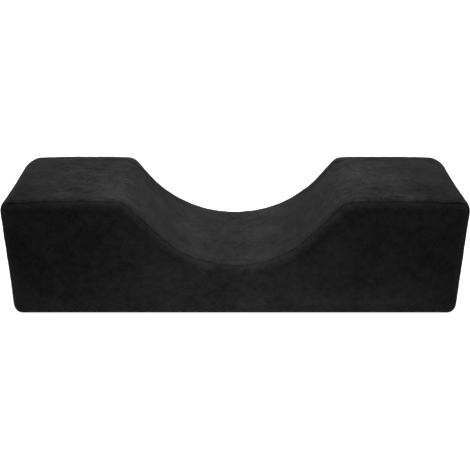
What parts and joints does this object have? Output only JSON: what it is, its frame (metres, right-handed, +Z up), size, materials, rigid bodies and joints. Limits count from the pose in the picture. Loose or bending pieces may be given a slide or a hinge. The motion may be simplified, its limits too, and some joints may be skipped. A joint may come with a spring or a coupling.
{
  "type": "eyelash extension pillow",
  "caption": "Firm velvet pillow, long and box-shaped, with a U-shaped hollow for the neck between two flat shoulders and seams along its front and back rims.",
  "frame": {"origin": "middle of the base", "axes": "+X along the length, +Y from the front panel to the back panel, +Z up"},
  "size_m": [0.5014, 0.145, 0.1373],
  "materials": {
    "velvet": "short dense black pile, matt, with a soft sheen"
  },
  "bodies": {
    "root": {"pillow": "velvet"}
  },
  "joints": []
}
